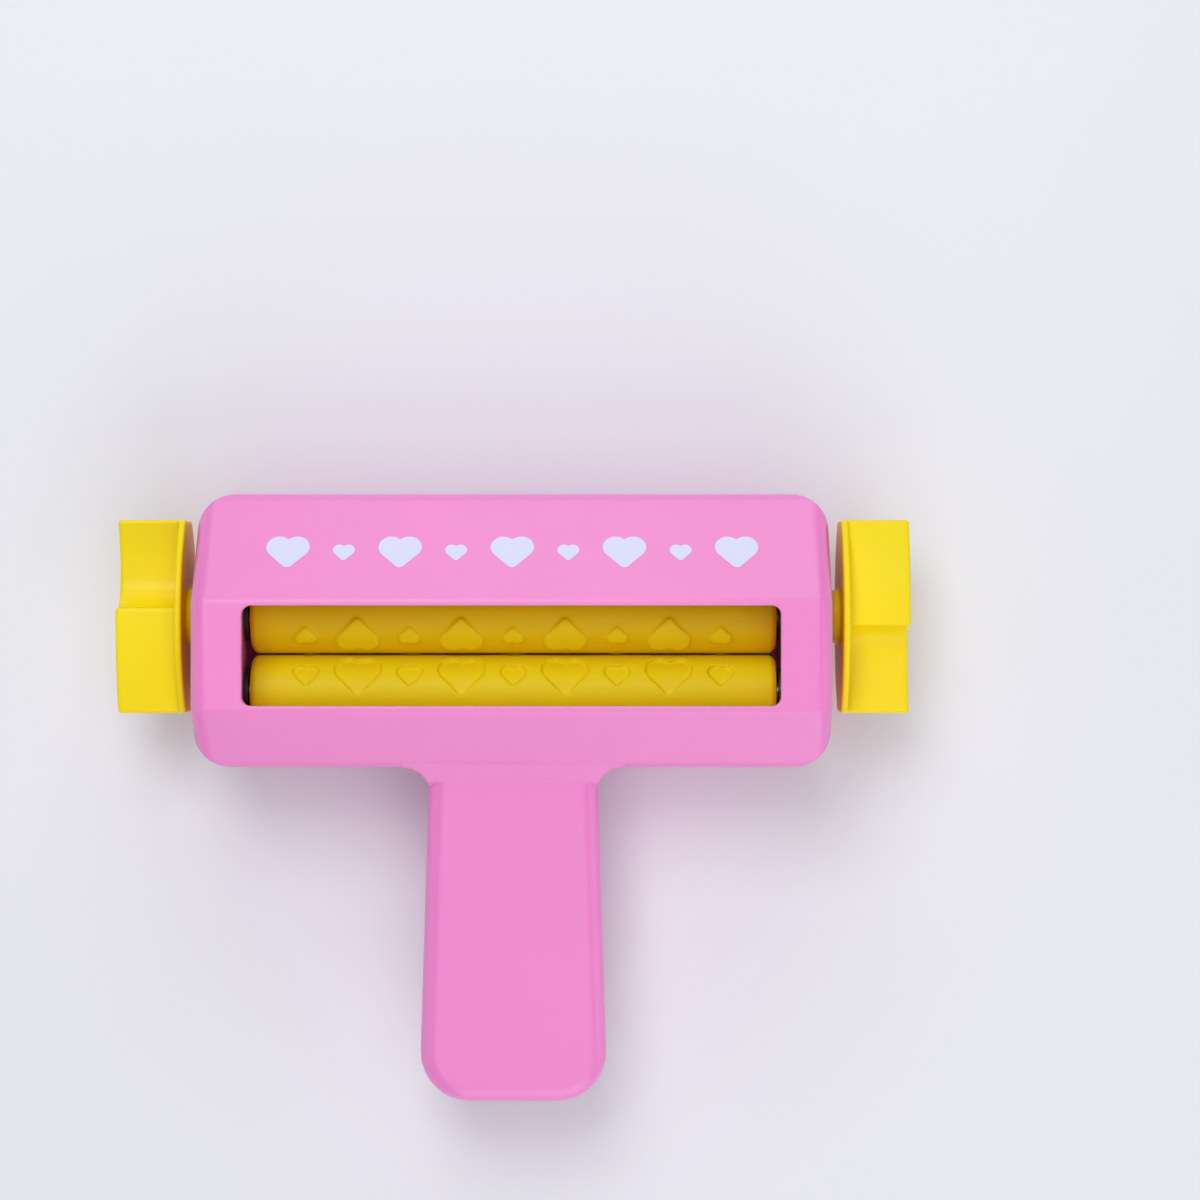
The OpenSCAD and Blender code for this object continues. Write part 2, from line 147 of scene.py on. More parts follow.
class EmbosserSizes(bpy.types.PropertyGroup):
    """Sizes of the rounded edges and of the printed hearts."""

    window_edge: length("Window Edge", "Width of the rounding around the paper windows", 0.3 * MM)
    housing_drop: length("Housing Drop", "Depth of the housing below the paper path", 25 * MM)
    neck_overlap: length("Neck Overlap", "How far the grip's neck reaches into the housing", 1 * MM)
    neck_step: length("Neck Step", "Largest step that is closed where neck and housing meet", 0.15 * MM)
    parting_edge: length("Parting Edge", "Width of the bevel where the shells meet", 0.15 * MM)
    knob_cell: length("Knob Cell", "Size of the cells that make the knobs' soft forms", 0.35 * MM)
    screw_edge: length("Screw Edge", "Width of the rounding on the screw heads", 0.4 * MM)
    print_thickness: length("Print Thickness", "Height of the ink above the housing", 0.06 * MM)
    big_print: length("Large Print", "Width of a large printed heart", 9.5 * MM)
    small_print: length("Small Print", "Width of a small printed heart", 4.8 * MM)
    print_pitch: length("Print Pitch", "Distance between neighbouring printed hearts", 12.4 * MM)
    print_rise: length("Print Rise", "Height of the print above the paper path", 22.6 * MM)
    roller_cell: length("Roller Cell", "Size of the cells that make the rollers' soft forms", 0.3 * MM)
    roller_passes: count("Roller Passes", "Smoothing passes that round the rollers' hearts", 7)
    knob_passes: count("Knob Passes", "Smoothing passes that round the knobs' edges", 14)
    print_count: count("Print Count", "Printed hearts in the row", 9)


class EmbosserStage(bpy.types.PropertyGroup):
    """Camera and lamps."""

    camera_height: length("Camera Height", "Height of the camera above the part's middle plane", 0.7)
    camera_x: length("Camera X", "Place of the camera along the rollers", 19.4 * MM)
    camera_y: length("Camera Y", "Place of the camera across the rollers", 44.2 * MM)
    view_width: length("View Width", "Width that the image covers at the middle plane", 0.2709)
    key_power: power("Key Power", "Strength of the main lamp", 3.7)
    top_power: power("Top Power", "Strength of the wide lamp overhead", 3.0)
    low_power: power("Low Power", "Strength of the low lamp beyond the top", 2.0)
    fill_power: power("Fill Power", "Strength of the lamp beyond the grip", 4.3)
    side_power: power("Side Power", "Strength of the two low lamps at the sides", 1.2)
    world_strength: bpy.props.FloatProperty(
        name="World Strength", description="Brightness of the surroundings", min=0, default=0.2
    )


class Wire:
    """A shader socket that adds Math nodes where it is used in an expression."""

    def __init__(self, finish, socket):
        self.finish = finish
        self.socket = socket

    def math(self, operation, first, second=0.0):
        return self.finish.node("ShaderNodeMath", {"operation": operation}, {0: first, 1: second})

    def __add__(self, other):
        return self.math("ADD", self, other)

    def __radd__(self, other):
        return self.math("ADD", other, self)

    def __sub__(self, other):
        return self.math("SUBTRACT", self, other)

    def __rsub__(self, other):
        return self.math("SUBTRACT", other, self)

    def __mul__(self, other):
        return self.math("MULTIPLY", self, other)

    def __rmul__(self, other):
        return self.math("MULTIPLY", other, self)

    def __pow__(self, other):
        return self.math("POWER", self, other)

    def ramp(self, low, high):
        """0 up to low, 1 from high on, and smooth between them."""
        return self.finish.node(
            "ShaderNodeMapRange",
            {"interpolation_type": "SMOOTHSTEP"},
            {"Value": self, "From Min": low, "From Max": high},
        )


class Finish:
    """One material under construction."""

    def __init__(self, name):
        self.material = bpy.data.materials.new(name)
        self.material.use_nodes = True
        self.tree = self.material.node_tree
        self.shader = self.tree.nodes["Principled BSDF"]
        self.place = self.node("ShaderNodeTexCoord", output="Object")
        self.eased = None

    def node(self, kind, settings=None, inputs=None, output=0):
        """Adds a node with its settings and inputs, and returns one of its outputs."""
        made = self.tree.nodes.new(kind)
        for name, value in (settings or {}).items():
            setattr(made, name, value)
        for key, value in (inputs or {}).items():
            self.feed(made.inputs[key], value)
        return Wire(self, made.outputs[output])

    def feed(self, socket, value):
        """Links a wire to a socket, or sets the socket to a plain value."""
        if isinstance(value, Wire):
            self.tree.links.new(value.socket, socket)
        elif socket.type == "RGBA" and len(value) == 3:
            socket.default_value = (*value, 1)
        else:
            socket.default_value = value

    def set(self, **inputs):
        """Feeds the shader's sockets, with _ for a space in their names."""
        for name, value in inputs.items():
            self.feed(self.shader.inputs[name.replace("_", " ")], value)

    def stretched(self, scale):
        """Object coordinates stretched by a factor along each axis."""
        return self.node("ShaderNodeMapping", None, {"Vector": self.place, "Scale": scale})

    def noise(self, grain, detail, place=None):
        """Cloudy values from 0 to 1 with patches of about the given size."""
        return self.node(
            "ShaderNodeTexNoise",
            None,
            {"Vector": place or self.place, "Scale": 1 / grain, "Detail": detail, "Roughness": 0.55},
        )

    def mix(self, share, first, second):
        """Colour between two others."""
        made = self.tree.nodes.new("ShaderNodeMix")
        made.data_type = "RGBA"
        for name, value in (("Factor_Float", share), ("A_Color", first), ("B_Color", second)):
            self.feed(next(s for s in made.inputs if s.identifier == name), value)
        return Wire(self, next(s for s in made.outputs if s.identifier == "Result_Color"))

    def axis(self, name):
        """One coordinate of the place on the part, in metres."""
        return self.node("ShaderNodeSeparateXYZ", None, {0: self.place}, output=name)

    def edges(self, radius):
        """1 on edges that stand out or fold in, 0 on flat ground."""
        self.eased = self.node("ShaderNodeBevel", {"samples": 6}, {"Radius": radius})
        plain = self.node("ShaderNodeNewGeometry", output="Normal")
        dot = self.node(
            "ShaderNodeVectorMath", {"operation": "DOT_PRODUCT"}, {0: self.eased, 1: plain}, output="Value"
        )
        return (1 - dot).ramp(low=0.01, high=0.25)

    def creases(self, distance):
        """1 deep in a crease or a hole, 0 in the open."""
        open_share = self.node(
            "ShaderNodeAmbientOcclusion", {"samples": 8}, {"Distance": distance}, output="AO"
        )
        return 1 - open_share

    def bump(self, height, strength, depth):
        """Surface relief of the given depth, on top of any eased edges."""
        inputs = {"Height": height, "Strength": strength, "Distance": depth}
        if self.eased:
            inputs["Normal"] = self.eased
        self.set(Normal=self.node("ShaderNodeBump", None, inputs, output="Normal"))


def shade(tint, factor):
    """A colour made darker or lighter."""
    return tuple(min(1, part * factor) for part in tint)


def towards(tint, other, share):
    """A colour moved part of the way to another."""
    return tuple(a + (b - a) * share for a, b in zip(tint, other))


def shaded_in_creases(tint, richness=1.7, brightness=0.9):
    """A darker and richer colour, painted deep in creases as shade."""
    return tuple(brightness * part**richness for part in tint)


WHITE = (1.0, 1.0, 1.0)
# Sizes of what shows on moulded plastic: patches of colour, marks of handling and the mould's grain
CLOUD_SIZE = 34 * MM
HANDLING_SIZE = 7 * MM
GRAIN_SIZE = 0.35 * MM
# How much handling and grain change the roughness
HANDLING_RUB = 0.16
GRAIN_RUB = 0.05
# Reach of the painted shade in a crease
CREASE_REACH = 5 * MM


def moulded_plastic(name, tint, roughness, gloss, edge_r, edge_highlight, crease_shade):
    """Satin moulded plastic: soft clouds of colour, a painted highlight on the edges, painted shade in the creases
    and a fine mould grain.
    """
    finish = Finish(name)
    clouds = finish.noise(CLOUD_SIZE, detail=3)
    handling = finish.noise(HANDLING_SIZE, detail=4)
    grain = finish.noise(GRAIN_SIZE, detail=1)
    body = finish.mix(clouds, shade(tint, 0.95), shade(tint, 1.03))
    # Painted highlight: the edges are painted paler, part of the way to white.
    edge_highlit = finish.mix(finish.edges(edge_r) * edge_highlight, body, towards(tint, WHITE, 0.45))
    # Painted shade: deep in creases and holes the colour turns darker and richer.
    finish.set(Base_Color=finish.mix(finish.creases(CREASE_REACH) * crease_shade, edge_highlit, shaded_in_creases(tint)))
    finish.set(Roughness=roughness + (handling - 0.5) * HANDLING_RUB + (grain - 0.5) * GRAIN_RUB)
    finish.set(Coat_Roughness=0.25, IOR=1.49, Specular_IOR_Level=gloss)
    finish.set(Coat_Weight=(0.2 + handling * 0.1) * gloss)
    finish.bump(grain + handling * 0.6, strength=0.35, depth=0.05 * MM)
    return finish


def housing_plastic(tint):
    """Pink plastic of the housing."""
    finish = moulded_plastic(
        "pink_housing_plastic",
        tint,
        roughness=0.36,
        gloss=0.75,
        edge_r=0.9 * MM,
        edge_highlight=0.35,
        crease_shade=0.4,
    )
    return finish.material


def knob_plastic(tint):
    """Bright yellow plastic of the knobs, duller than the housing."""
    finish = moulded_plastic(
        "yellow_knob_plastic",
        tint,
        roughness=0.36,
        gloss=0.22,
        edge_r=0.6 * MM,
        edge_highlight=0.15,
        crease_shade=0.55,
    )
    return finish.material


def roller_plastic(name, tint, axis, field_r):
    """Golden plastic of a roller, drawn along its length, with a painted highlight on its raised hearts."""
    finish = moulded_plastic(
        name, tint, roughness=0.46, gloss=0.14, edge_r=0.35 * MM, edge_highlight=0.1, crease_shade=0.15
    )
    base = finish.shader.inputs["Base Color"].links[0].from_socket
    streaks = finish.noise(1.6 * MM, detail=3, place=finish.stretched((0.06, 1, 1)))
    across = finish.axis("Y") - axis.y
    upright = finish.axis("Z") - axis.z
    radius = (across * across + upright * upright) ** 0.5
    # Painted highlight: where the surface stands out beyond the counter roller's radius, the raised hearts are
    # painted lighter.
    raised = radius.ramp(low=field_r - 0.1 * MM, high=field_r + 0.6 * MM)
    drawn = finish.mix(streaks * 0.25, Wire(finish, base), shade(tint, 0.82))
    finish.set(Base_Color=finish.mix(raised, drawn, shade(tint, 1.12)))
    return finish.material


def printed_ink(tint):
    """Pad-printed ink with small pinholes and a dry, even surface."""
    finish = Finish("white_heart_ink")
    mottle = finish.noise(1.1 * MM, detail=4)
    pinholes = finish.noise(0.32 * MM, detail=2).ramp(low=0.68, high=0.8)
    finish.set(Base_Color=finish.mix(pinholes * 0.25 + mottle * 0.05, tint, shade(tint, 0.82)))
    finish.set(Roughness=0.42 + mottle * 0.18, IOR=1.46)
    finish.bump(mottle, strength=0.3, depth=0.01 * MM)
    return finish.material


def bearing_plastic(name, tint):
    """Bearing plastic with a waxy, slightly greased surface."""
    finish = Finish(name)
    wax = finish.noise(2.5 * MM, detail=3)
    pale_edge_mask = finish.edges(0.4 * MM)
    body = finish.mix(wax, shade(tint, 0.92), tint)
    # Paler towards the edges.
    finish.set(Base_Color=finish.mix(pale_edge_mask * 0.3, body, towards(tint, WHITE, 0.5)))
    finish.set(Roughness=0.4 + (wax - 0.5) * 0.25, IOR=1.48)
    finish.bump(wax, strength=0.2, depth=0.02 * MM)
    return finish.material


def ground_steel(tint):
    """Bright ground steel with fine lines along the shafts."""
    finish = Finish("ground_steel")
    lines = finish.noise(0.25 * MM, detail=3, place=finish.stretched((0.02, 1, 1)))
    smudge = finish.noise(5 * MM, detail=3)
    finish.set(Base_Color=finish.mix(smudge * 0.3 + lines * 0.2, tint, shade(tint, 0.75)))
    finish.set(Metallic=1.0, Roughness=0.26 + lines * 0.14 + smudge * 0.08)
    finish.bump(lines, strength=0.2, depth=0.01 * MM)
    return finish.material


def pale_floor(tint):
    """Smooth pale board."""
    finish = Finish("pale_floor")
    clouds = finish.noise(60 * MM, detail=2)
    finish.set(Base_Color=finish.mix(clouds, shade(tint, 0.985), tint))
    finish.set(Roughness=0.6 + clouds * 0.1)
    return finish.material


def activate(*objects):
    """Selects only these objects and makes the first one active."""
    bpy.ops.object.select_all(action="DESELECT")
    for item in objects:
        item.select_set(True)
    bpy.context.view_layer.objects.active = objects[0]


def select_only(piece, kind, chosen):
    """Selects the corners, edges or faces of a mesh that chosen picks, and stays in edit mode."""
    activate(piece)
    bpy.ops.object.mode_set(mode="EDIT")
    bpy.ops.mesh.select_mode(type=kind)
    bpy.ops.mesh.select_all(action="DESELECT")
    bpy.ops.object.mode_set(mode="OBJECT")
    mesh = piece.data
    for part in {"VERT": mesh.vertices, "EDGE": mesh.edges, "FACE": mesh.polygons}[kind]:
        part.select = chosen(part)
    bpy.ops.object.mode_set(mode="EDIT")


def merged_copy(node, name):
    """Copy of a solid as an object of its own, with its loose triangles joined into clean faces."""
    weld = 0.002 * MM
    flat = math.radians(0.4)
    piece = bpy.data.objects.new(name, frame["nodes"][node].data.copy())
    bpy.context.collection.objects.link(piece)
    piece.data.materials.clear()
    activate(piece)
    bpy.ops.mesh.customdata_custom_splitnormals_clear()
    bpy.ops.object.mode_set(mode="EDIT")
    bpy.ops.mesh.select_all(action="SELECT")
    bpy.ops.mesh.remove_doubles(threshold=weld)
    bpy.ops.mesh.dissolve_limited(angle_limit=flat)
    bpy.ops.object.mode_set(mode="OBJECT")
    return piece


def round_edges(piece, width, segments=3, sharper_than=38):
    """Rounds every edge that turns by more than the given angle, in degrees."""
    activate(piece)
    bevel = piece.modifiers.new("Rounded edges", "BEVEL")
    bevel.width = width
    bevel.segments = segments
    bevel.limit_method = "ANGLE"
    bevel.angle_limit = math.radians(sharper_than)
    bevel.use_clamp_overlap = True
    bpy.ops.object.modifier_apply(modifier=bevel.name)


def round_chosen_edges(piece, width, segments, chosen, clamp, sharper_than=38):
    """Rounds the edges that turn sharply and whose ends both lie where chosen says."""
    activate(piece)
    bpy.ops.object.mode_set(mode="EDIT")
    bpy.ops.mesh.select_mode(type="EDGE")
    bpy.ops.mesh.select_all(action="DESELECT")
    bpy.ops.mesh.edges_select_sharp(sharpness=math.radians(sharper_than))
    bpy.ops.object.mode_set(mode="OBJECT")
    mesh = piece.data
    for edge in mesh.edges:
        edge.select = edge.select and all(chosen(mesh.vertices[end].co) for end in edge.vertices)
    bpy.ops.object.mode_set(mode="EDIT")
    bpy.ops.mesh.bevel(offset=width, segments=segments, affect="EDGES", clamp_overlap=clamp)
    bpy.ops.object.mode_set(mode="OBJECT")


def soften_form(piece, cell, passes, kept_share=0.3):
    """Rebuilds a piece from small cells and rounds all its edges, as on a polished moulding."""
    activate(piece)
    cells = piece.modifiers.new("Cells", "REMESH")
    cells.mode = "VOXEL"
    cells.voxel_size = cell
    bpy.ops.object.modifier_apply(modifier=cells.name)
    eased = piece.modifiers.new("Eased edges", "SMOOTH")
    eased.factor = 0.5
    eased.iterations = passes
    bpy.ops.object.modifier_apply(modifier=eased.name)
    fewer = piece.modifiers.new("Fewer faces", "DECIMATE")
    fewer.ratio = kept_share
    bpy.ops.object.modifier_apply(modifier=fewer.name)


def smooth(piece, angle=32):
    """Shades curved stretches smooth and keeps flat faces flat."""
    activate(piece)
    bpy.ops.object.shade_smooth_by_angle(angle=math.radians(angle))
    weighted = piece.modifiers.new("Flat faces", "WEIGHTED_NORMAL")
    weighted.keep_sharp = True
    weighted.weight = 90
    bpy.ops.object.modifier_apply(modifier=weighted.name)


def dress(piece, node, material):
    """Lets a finished piece stand for its solid, on the same body and in the given material."""
    piece.data.materials.append(material)
    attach(piece, NODE_BODY[node])
    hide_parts(node)


def coat(node, material):
    """Gives a solid that shows as it is a finer material."""
    mesh = frame["nodes"][node].data
    mesh.materials.clear()
    mesh.materials.append(material)


class EMBOSSER_OT_shells(bpy.types.Operator):
    """Round the edges of both housing shells and finish them in pink plastic"""

    bl_idname = "embosser.shells"
    bl_label = "Housing Shells"

    def execute(self, context):
        sizes = context.scene.embosser_sizes
        plastic = housing_plastic(tuple(context.scene.embosser_colours.housing))
        for node in SHELLS:
            piece = merged_copy(node, node + "_moulded")
            close_seam(piece, PAPER_Y - sizes.housing_drop + sizes.neck_overlap, sizes.neck_step)
            round_chosen_edges(piece, sizes.window_edge, segments=3, chosen=on_window_rim, clamp=True)
            round_chosen_edges(piece, sizes.parting_edge, segments=1, chosen=on_parting_plane, clamp=False)
            smooth(piece)
            dress(piece, node, plastic)
        return {"FINISHED"}


def close_seam(piece, seam_y, step):
    """Joins the corners at one height that lie closer together than a small step."""
    select_only(piece, "VERT", lambda corner: abs(corner.co.y - seam_y) < NEAR)
    bpy.ops.mesh.remove_doubles(threshold=step)
    bpy.ops.object.mode_set(mode="OBJECT")


def on_window_rim(place):
    """Whether a point lies on the flat front or rear face, beside a paper window."""
    low, high = WINDOW_BOX
    beside = all(low[i] - WINDOW_MARGIN < place[i] < high[i] + WINDOW_MARGIN for i in (0, 1))
    return beside and not CAD_BOX[0].z + NEAR < place.z < CAD_BOX[1].z - NEAR


def on_parting_plane(place):
    """Whether a point lies where the two shells meet."""
    return abs(place.z - AXES["drive"].z) < NEAR


class EMBOSSER_OT_rollers(bpy.types.Operator):
    """Soften the raised and sunk hearts and finish both rollers in golden plastic"""

    bl_idname = "embosser.rollers"
    bl_label = "Rollers"

    def execute(self, context):
        sizes = context.scene.embosser_sizes
        colours = context.scene.embosser_colours
        counter_low, counter_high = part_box("counter_roller")
        field_r = (counter_high.z - counter_low.z) / 2
        for node, body in ROLLERS.items():
            piece = merged_copy(node, node + "_moulded")
            soften_form(piece, sizes.roller_cell, sizes.roller_passes)
            smooth(piece)
            # Each roller takes its own tint, and the counter roller's lighter one is painted light.
            tint = tuple(getattr(colours, node))
            dress(piece, node, roller_plastic(node + "_plastic", tint, AXES[body], field_r))
        return {"FINISHED"}


class EMBOSSER_OT_knobs(bpy.types.Operator):
    """Round the edges of both knobs and finish them in bright yellow plastic"""

    bl_idname = "embosser.knobs"
    bl_label = "Knobs"

    def execute(self, context):
        sizes = context.scene.embosser_sizes
        plastic = knob_plastic(tuple(context.scene.embosser_colours.knobs))
        for node in KNOBS:
            piece = merged_copy(node, node + "_moulded")
            soften_form(piece, sizes.knob_cell, sizes.knob_passes)
            smooth(piece)
            dress(piece, node, plastic)
        return {"FINISHED"}


class EMBOSSER_OT_metalwork(bpy.types.Operator):
    """Finish the shafts and the screws in ground steel, with a cross recess in each screw"""

    bl_idname = "embosser.metalwork"
    bl_label = "Shafts and Screws"

    def execute(self, context):
        steel = ground_steel(tuple(context.scene.embosser_colours.steel))
        for node in SHAFTS:
            coat(node, steel)
        for node in SCREWS:
            dress(cross_recess_screws(node, context.scene.embosser_sizes.screw_edge), node, steel)
        return {"FINISHED"}


def box_of(piece):
    """Lowest and highest corner of an object whose place is in its mesh."""
    corners = [Vector(corner) for corner in piece.bound_box]
    return Vector(map(min, *corners)), Vector(map(max, *corners))


# Width of a cross recess, of its slots and its depth, as shares of the screw head's diameter
RECESS_WIDTH = 0.62
RECESS_SLOT = 0.16
RECESS_DEPTH = 0.2
# Size of the recess at its bottom against its mouth
RECESS_TAPER = 0.55


def cross_cutter(centre, head_d):
    """Tapered cross that cuts the recess into a screw head from below."""
    width = RECESS_WIDTH * head_d
    slot = RECESS_SLOT * head_d
    bars = []
    for size in ((width, slot), (slot, width)):
        bpy.ops.mesh.primitive_cube_add(size=1, location=centre)
        bar = bpy.context.object
        bar.scale = (*size, 2 * RECESS_DEPTH * head_d)
        bpy.ops.object.transform_apply(location=True, rotation=True, scale=True)
        select_only(bar, "FACE", lambda face: face.normal.z > 0.5)
        bpy.ops.transform.resize(value=(RECESS_TAPER, RECESS_TAPER, 1), center_override=centre)
        bpy.ops.object.mode_set(mode="OBJECT")
        bars.append(bar)
    unite(bars)
    return bars[0]


def unite(objects):
    """Joins overlapping objects into the first one as one closed shape."""
    for other in objects[1:]:
        combine(objects[0], other, "UNION")


def combine(piece, other, operation):
    """Applies a boolean and removes the other object."""
    activate(piece)
    boolean = piece.modifiers.new("Boolean", "BOOLEAN")
    boolean.operation = operation
    boolean.object = other
    boolean.solver = "EXACT"
    bpy.ops.object.modifier_apply(modifier=boolean.name)
    bpy.data.objects.remove(other)


def cross_recess_screws(node, edge):
    """The screws of one node with domed heads and cross recesses, as one piece."""
    group = merged_copy(node, node + "_finished")
    bpy.ops.object.mode_set(mode="EDIT")
    bpy.ops.mesh.select_all(action="SELECT")
    bpy.ops.mesh.separate(type="LOOSE")
    bpy.ops.object.mode_set(mode="OBJECT")
    screws = list(bpy.context.selected_objects)
    for screw in screws:
        round_edges(screw, edge)
        low, high = box_of(screw)
        centre = Vector(((low.x + high.x) / 2, (low.y + high.y) / 2, low.z))
        combine(screw, cross_cutter(centre, high.x - low.x), "DIFFERENCE")
    activate(group, *[screw for screw in screws if screw != group])
    bpy.ops.object.join()
    smooth(group)
    return group


class EMBOSSER_OT_gears(bpy.types.Operator):
    """Finish the gears in ivory bearing plastic"""

    bl_idname = "embosser.gears"
    bl_label = "Gears"

    def execute(self, context):
        plastic = bearing_plastic("ivory_gear_plastic", tuple(context.scene.embosser_colours.gears))
        for node in GEARS:
            coat(node, plastic)
        return {"FINISHED"}


class EMBOSSER_OT_bushes(bpy.types.Operator):
    """Finish the bushes in dark bearing plastic"""

    bl_idname = "embosser.bushes"
    bl_label = "Bushes"

    def execute(self, context):
        plastic = bearing_plastic("dark_bush_plastic", tuple(context.scene.embosser_colours.bushes))
        for node in BUSHES:
            coat(node, plastic)
        return {"FINISHED"}


# Radius of a heart's lobe against the side of its square, a little over half to cover the square's corners
LOBE_SHARE = 0.505
# Radii of a heart's point and notch as shares of its width
POINT_SHARE = 0.14
NOTCH_SHARE = 0.05
# Height of a printed heart against one made of a turned square and two discs
HEART_STRETCH = 1.05


def heart_blank(width, thickness):
    """Thin heart at the origin with its point towards -Y, from a turned square and two discs."""
    side = width / (1 + math.sqrt(0.5))
    lobe = side / math.sqrt(8)
    bpy.ops.mesh.primitive_cube_add(size=1, rotation=(0, 0, math.radians(45)))
    blank = bpy.context.object
    blank.scale = (side, side, thickness)
    bpy.ops.object.transform_apply(location=True, rotation=True, scale=True)
    discs = []
    for sign in (-1, 1):
        bpy.ops.mesh.primitive_cylinder_add(
            vertices=64, radius=LOBE_SHARE * side, depth=thickness, location=(sign * lobe, lobe, 0)
        )
        bpy.ops.object.transform_apply(location=True, rotation=True, scale=True)
        discs.append(bpy.context.object)
    unite([blank, *discs])
    drop = (1 - math.sqrt(0.5)) * side / 4
    blank.data.transform(Matrix.Diagonal((1, HEART_STRETCH, 1, 1)) @ Matrix.Translation((0, -drop, 0)))
    soften_middle_corner(blank, POINT_SHARE * width, side=-1, clamp=False)
    soften_middle_corner(blank, NOTCH_SHARE * width, side=1, clamp=True)
    return blank


def soften_middle_corner(blank, radius, side, clamp):
    """Rounds the point or the notch of a heart, which lie below and above its middle."""
    speck = 0.005 * MM
    activate(blank)
    bpy.ops.object.mode_set(mode="EDIT")
    bpy.ops.mesh.select_mode(type="EDGE")
    bpy.ops.mesh.select_all(action="SELECT")
    bpy.ops.mesh.dissolve_limited(angle_limit=math.radians(1))
    bpy.ops.object.mode_set(mode="OBJECT")
    corners = blank.data.vertices

    def on_middle(edge):
        start, end = (corners[index].co for index in edge.vertices)
        upright = (start.xy - end.xy).length < TOUCH
        return upright and abs(start.x) < TOUCH and start.y * side > 0

    select_only(blank, "EDGE", on_middle)
    bpy.ops.mesh.bevel(offset=radius, segments=6, affect="EDGES", clamp_overlap=clamp)
    bpy.ops.mesh.select_all(action="SELECT")
    bpy.ops.mesh.dissolve_degenerate(threshold=speck)
    bpy.ops.object.mode_set(mode="OBJECT")


def surface_below(piece, x, y):
    """Point and normal of a piece straight under a place, seen from the front."""
    above = 10 * MM
    start = Vector((x, y, CAD_BOX[1].z + above))
    hit, place, normal, _ = piece.ray_cast(start, Vector((0, 0, -1)))
    if not hit:
        raise RuntimeError(f"nothing of {piece.name} lies under {x:.4f}, {y:.4f}")
    return place, normal


class EMBOSSER_OT_printed_hearts(bpy.types.Operator):
    """Print the row of large and small hearts on the upper slope"""

    bl_idname = "embosser.printed_hearts"
    bl_label = "Printed Hearts"

    def execute(self, context):
        sizes = context.scene.embosser_sizes
        ink = printed_ink(tuple(context.scene.embosser_colours.printing))
        shell = bpy.data.objects["front_shell_moulded"]
        y = PAPER_Y + sizes.print_rise
        widths = (sizes.big_print, sizes.small_print)
        blanks = [heart_blank(width, sizes.print_thickness) for width in widths]
        for index in range(sizes.print_count):
            x = (index - (sizes.print_count - 1) / 2) * sizes.print_pitch
            place, normal = surface_below(shell, x, y)
            heart = bpy.data.objects.new(f"printed_heart_{index + 1}", blanks[index % 2].data.copy())
            context.collection.objects.link(heart)
            tilt = Matrix.Rotation(-math.atan2(normal.y, normal.z), 4, "X")
            heart.data.transform(Matrix.Translation(place) @ tilt)
            heart.data.materials.append(ink)
            smooth(heart)
            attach(heart, "housing")
        for blank in blanks:
            bpy.data.objects.remove(blank)
        return {"FINISHED"}


def area_lamp(name, place, target, size, strength):
    """Soft square lamp aimed at a point."""
    bpy.ops.object.light_add(type="AREA", location=place)
    lamp = bpy.context.object
    lamp.name = name
    lamp.data.size = size
    lamp.data.energy = strength
    lamp.rotation_euler = (Vector(target) - Vector(place)).to_track_quat("-Z", "Y").to_euler()


FLOOR_SIZE = 6
# How far the floor lies below the part, so that their faces don't mix
FLOOR_DROP = 0.2 * MM
# Strength of the left lamp against the right one
LEFT_SHARE = 0.7
# Width of the camera's sensor, in millimetres
SENSOR_WIDTH = 36


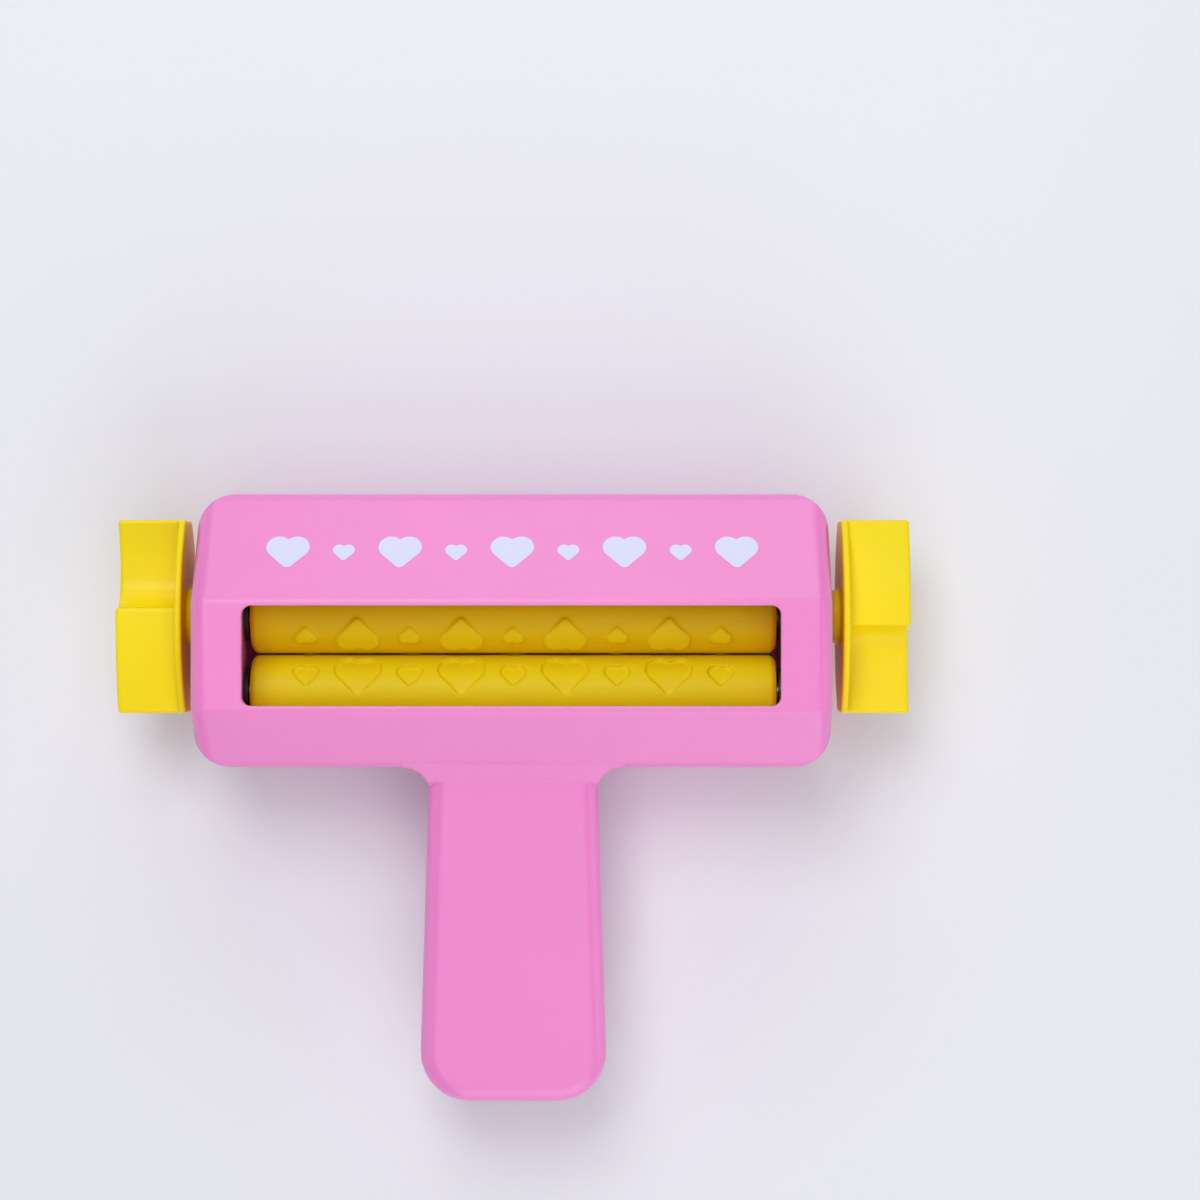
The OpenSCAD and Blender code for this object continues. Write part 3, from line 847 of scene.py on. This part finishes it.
class EMBOSSER_OT_stage(bpy.types.Operator):
    """Set the floor, the lamps, the surroundings and the camera"""

    bl_idname = "embosser.stage"
    bl_label = "Stage"

    def execute(self, context):
        scene = context.scene
        stage = scene.embosser_stage
        bpy.ops.mesh.primitive_plane_add(size=FLOOR_SIZE, location=(0, 0, -FLOOR_DROP))
        floor = context.object
        floor.name = "floor"
        floor.data.materials.append(pale_floor(tuple(scene.embosser_colours.floor)))
        middle = (0, 0, AXES["drive"].z)
        lamps = (
            ("key_lamp", (-0.15, 0.5, 0.9), 0.5, stage.key_power),
            ("top_lamp", (0.02, -0.1, 1.1), 1.0, stage.top_power),
            ("low_lamp", (0.05, 0.8, 0.35), 0.6, stage.low_power),
            ("fill_lamp", (0.2, -0.8, 0.45), 0.9, stage.fill_power),
            ("left_lamp", (-0.9, -0.1, 0.3), 0.6, LEFT_SHARE * stage.side_power),
            ("right_lamp", (0.9, -0.1, 0.3), 0.6, stage.side_power),
        )
        for name, place, size, strength in lamps:
            area_lamp(name, place, middle, size, strength)
        world = scene.world or bpy.data.worlds.new("surroundings")
        scene.world = world
        world.use_nodes = True
        background = world.node_tree.nodes["Background"]
        background.inputs["Color"].default_value = (1, 1, 1, 1)
        background.inputs["Strength"].default_value = stage.world_strength
        height = AXES["drive"].z + stage.camera_height
        bpy.ops.object.camera_add(location=(stage.camera_x, stage.camera_y, height), rotation=(0, 0, 0))
        camera = context.object
        camera.data.sensor_width = SENSOR_WIDTH
        camera.data.lens = SENSOR_WIDTH * stage.camera_height / stage.view_width
        scene.camera = camera
        scene.view_settings.view_transform = "Standard"
        return {"FINISHED"}


PIECE_OPERATORS = (
    EMBOSSER_OT_shells,
    EMBOSSER_OT_rollers,
    EMBOSSER_OT_knobs,
    EMBOSSER_OT_metalwork,
    EMBOSSER_OT_gears,
    EMBOSSER_OT_bushes,
    EMBOSSER_OT_printed_hearts,
    EMBOSSER_OT_stage,
)


class EMBOSSER_PT_panel(bpy.types.Panel):
    """Sizes, colours and steps of the embosser"""

    bl_idname = "EMBOSSER_PT_panel"
    bl_label = "Paper Embosser"
    bl_space_type = "VIEW_3D"
    bl_region_type = "UI"
    bl_category = "Embosser"

    def draw(self, context):
        for group in (
            context.scene.embosser_sizes,
            context.scene.embosser_colours,
            context.scene.embosser_stage,
        ):
            box = self.layout.box()
            for name in group.__annotations__:
                box.prop(group, name)
        for operator in PIECE_OPERATORS:
            self.layout.operator(operator.bl_idname)


CLASSES = (EmbosserColours, EmbosserSizes, EmbosserStage, *PIECE_OPERATORS, EMBOSSER_PT_panel)


def register():
    """Registers the classes and puts their settings on the scene."""
    for item in CLASSES:
        bpy.utils.register_class(item)
    bpy.types.Scene.embosser_colours = bpy.props.PointerProperty(type=EmbosserColours)
    bpy.types.Scene.embosser_sizes = bpy.props.PointerProperty(type=EmbosserSizes)
    bpy.types.Scene.embosser_stage = bpy.props.PointerProperty(type=EmbosserStage)


def unregister():
    """Takes the settings and the classes away again."""
    del bpy.types.Scene.embosser_stage
    del bpy.types.Scene.embosser_sizes
    del bpy.types.Scene.embosser_colours
    for item in reversed(CLASSES):
        bpy.utils.unregister_class(item)


def main():
    """Dresses the part and sets the stage."""
    register()
    bpy.ops.embosser.shells()
    bpy.ops.embosser.rollers()
    bpy.ops.embosser.knobs()
    bpy.ops.embosser.metalwork()
    bpy.ops.embosser.gears()
    bpy.ops.embosser.bushes()
    bpy.ops.embosser.printed_hearts()
    bpy.ops.embosser.stage()


if __name__ == "__main__":
    main()
